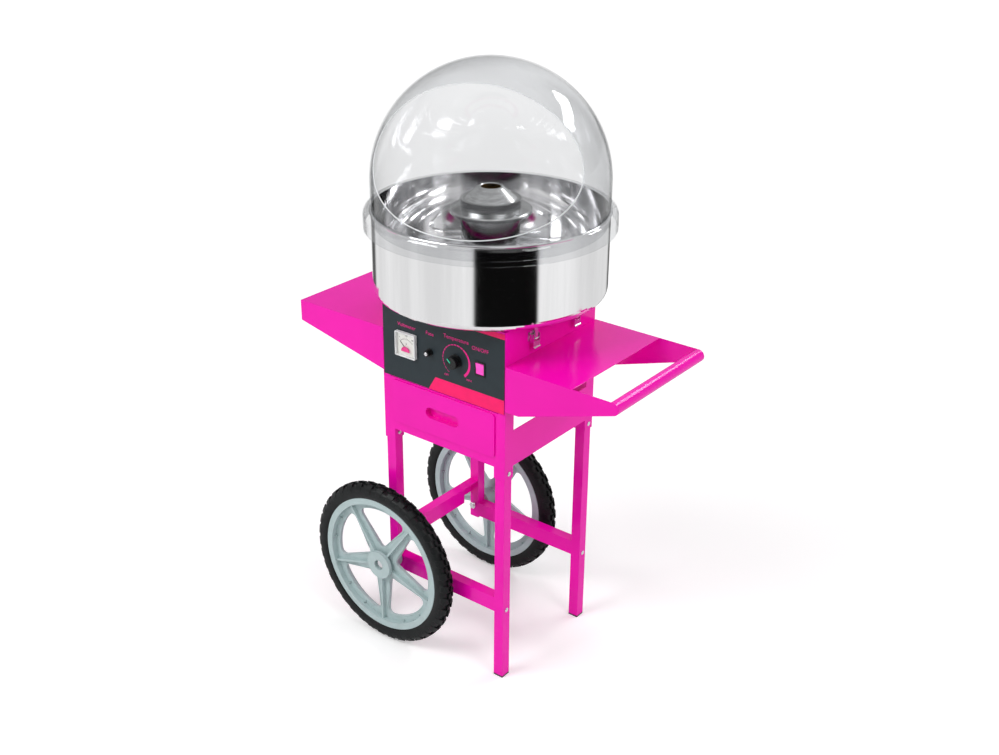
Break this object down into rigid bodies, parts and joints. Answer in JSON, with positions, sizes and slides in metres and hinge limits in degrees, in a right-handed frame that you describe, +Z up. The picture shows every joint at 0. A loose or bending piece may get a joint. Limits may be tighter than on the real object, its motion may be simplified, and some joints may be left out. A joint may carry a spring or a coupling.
{
  "type": "cotton candy machine on a cart",
  "caption": "Electric candy floss machine with a spinner in a round bowl, a clear domed cover with an oval opening, a control panel, and a wheeled cart with side trays, drawer and push handle.",
  "frame": {"origin": "on the floor under the middle of the whole outline, from the left tray's end to the handle", "axes": "+Z up, -Y towards the user at the control panel, +X towards the push handle"},
  "size_m": [0.887, 0.5538, 1.3978],
  "materials": {
    "aluminium": "turned",
    "black_plastic": "moulded",
    "brass": "plain",
    "chrome": "bright plated",
    "clear": "clear acrylic",
    "grey_metal": "plain",
    "panel_print": "printed sheet",
    "pink_paint": "glossy powder coat",
    "rocker_pink": "lit translucent",
    "rubber": "matt",
    "scale_card": "printed card",
    "steel": "polished stainless",
    "tyre": "matt",
    "wheel_plastic": "satin moulded",
    "white_plastic": "moulded"
  },
  "bodies": {
    "cart": {"cart_shell": "pink_paint", "front_right_leg": "pink_paint", "back_right_leg": "pink_paint", "front_left_leg": "pink_paint", "back_left_leg": "pink_paint", "foot_caps": "black_plastic", "front_rail": "pink_paint", "back_rail": "pink_paint", "cross_rail": "pink_paint", "frame_bolts": "chrome", "front_axle": "chrome", "back_axle": "chrome", "left_tray": "pink_paint", "right_tray": "pink_paint", "handle_tube": "pink_paint", "drawer_runners": "pink_paint", "machine_housing": "pink_paint", "machine_base": "grey_metal", "control_panel": "panel_print", "meter_case": "white_plastic", "meter_scale": "scale_card", "meter_lens": "clear", "fuse_holder": "black_plastic", "temperature_control": "grey_metal", "rocker_frame": "black_plastic", "latch_plates": "chrome", "bowl_catches": "chrome", "bowl": "steel", "seat_ring": "rubber", "heat_shield": "steel", "motor": "grey_metal", "motor_mounts": "rubber", "power_inlet": "black_plastic"},
    "front_wheel": {"front_wheel_rim": "wheel_plastic", "front_wheel_tyre": "tyre"},
    "back_wheel": {"back_wheel_rim": "wheel_plastic", "back_wheel_tyre": "tyre"},
    "drawer": {"drawer_front": "pink_paint", "drawer_box": "pink_paint"},
    "needle": {"meter_needle": "black_plastic"},
    "fuse_cap": {"fuse_cap": "black_plastic", "fuse": "chrome"},
    "knob": {"temperature_knob": "black_plastic"},
    "rocker": {"rocker_switch": "rocker_pink"},
    "spinner": {"drive_shaft": "chrome", "spinner_base": "aluminium", "heater_band": "brass", "spinner_cap": "aluminium"},
    "cover": {"dome_cover": "clear"},
    "front_right_lever": {"front_right_lever": "chrome"},
    "front_right_hook": {"front_right_hook": "chrome"},
    "back_right_lever": {"back_right_lever": "chrome"},
    "back_right_hook": {"back_right_hook": "chrome"},
    "front_left_lever": {"front_left_lever": "chrome"},
    "front_left_hook": {"front_left_hook": "chrome"},
    "back_left_lever": {"back_left_lever": "chrome"},
    "back_left_hook": {"back_left_hook": "chrome"}
  },
  "joints": [
    {"name": "front_wheel_spin", "type": "hinge", "parent": "cart", "child": "front_wheel", "pos_m": [-0.1705, -0.2042, 0.208], "axis": [0, 1, 0], "continuous": true},
    {"name": "back_wheel_spin", "type": "hinge", "parent": "cart", "child": "back_wheel", "pos_m": [-0.1705, 0.2042, 0.208], "axis": [0, 1, 0], "continuous": true},
    {"name": "drawer_slide", "type": "slide", "parent": "cart", "child": "drawer", "axis": [0, -1, 0], "range_m": [0, 0.05]},
    {"name": "needle_swing", "type": "hinge", "parent": "cart", "child": "needle", "pos_m": [-0.1125, -0.1692, 0.7695], "axis": [0, 1, 0], "range_deg": [0, 90]},
    {"name": "fuse_cap_pull", "type": "slide", "parent": "cart", "child": "fuse_cap", "axis": [0, -1, 0], "range_m": [0, 0.016]},
    {"name": "knob_turn", "type": "hinge", "parent": "cart", "child": "knob", "pos_m": [0.0285, -0.1692, 0.7815], "axis": [0, 1, 0], "range_deg": [-100, 190]},
    {"name": "rocker_tilt", "type": "hinge", "parent": "cart", "child": "rocker", "pos_m": [0.0945, -0.1672, 0.7815], "axis": [-1, 0, 0], "range_deg": [0, 14]},
    {"name": "spinner_spin", "type": "hinge", "parent": "cart", "child": "spinner", "pos_m": [-0.0115, 0, 1], "axis": [0, 0, 1], "continuous": true},
    {"name": "cover_lift", "type": "slide", "parent": "cart", "child": "cover", "axis": [0, 0, 1], "range_m": [0, 0.4]},
    {"name": "front_right_lever_turn", "type": "hinge", "parent": "cart", "child": "front_right_lever", "pos_m": [0.1662, -0.076, 0.8495], "axis": [0, -1, 0], "range_deg": [0, 90]},
    {"name": "front_right_hook_turn", "type": "hinge", "parent": "front_right_lever", "child": "front_right_hook", "pos_m": [0.1712, -0.076, 0.8425], "axis": [0, -1, 0], "range_deg": [-105, 0]},
    {"name": "back_right_lever_turn", "type": "hinge", "parent": "cart", "child": "back_right_lever", "pos_m": [0.1662, 0.076, 0.8495], "axis": [0, -1, 0], "range_deg": [0, 90]},
    {"name": "back_right_hook_turn", "type": "hinge", "parent": "back_right_lever", "child": "back_right_hook", "pos_m": [0.1712, 0.076, 0.8425], "axis": [0, -1, 0], "range_deg": [-105, 0]},
    {"name": "front_left_lever_turn", "type": "hinge", "parent": "cart", "child": "front_left_lever", "pos_m": [-0.1892, -0.076, 0.8495], "axis": [0, 1, 0], "range_deg": [0, 90]},
    {"name": "front_left_hook_turn", "type": "hinge", "parent": "front_left_lever", "child": "front_left_hook", "pos_m": [-0.1942, -0.076, 0.8425], "axis": [0, 1, 0], "range_deg": [-105, 0]},
    {"name": "back_left_lever_turn", "type": "hinge", "parent": "cart", "child": "back_left_lever", "pos_m": [-0.1892, 0.076, 0.8495], "axis": [0, 1, 0], "range_deg": [0, 90]},
    {"name": "back_left_hook_turn", "type": "hinge", "parent": "back_left_lever", "child": "back_left_hook", "pos_m": [-0.1942, 0.076, 0.8425], "axis": [0, 1, 0], "range_deg": [-105, 0]}
  ],
  "couplings": [
    {"joint": "front_right_hook_turn", "follows": "front_right_lever_turn", "ratio": -1.15},
    {"joint": "back_right_hook_turn", "follows": "back_right_lever_turn", "ratio": -1.15},
    {"joint": "front_left_hook_turn", "follows": "front_left_lever_turn", "ratio": -1.15},
    {"joint": "back_left_hook_turn", "follows": "back_left_lever_turn", "ratio": -1.15}
  ]
}
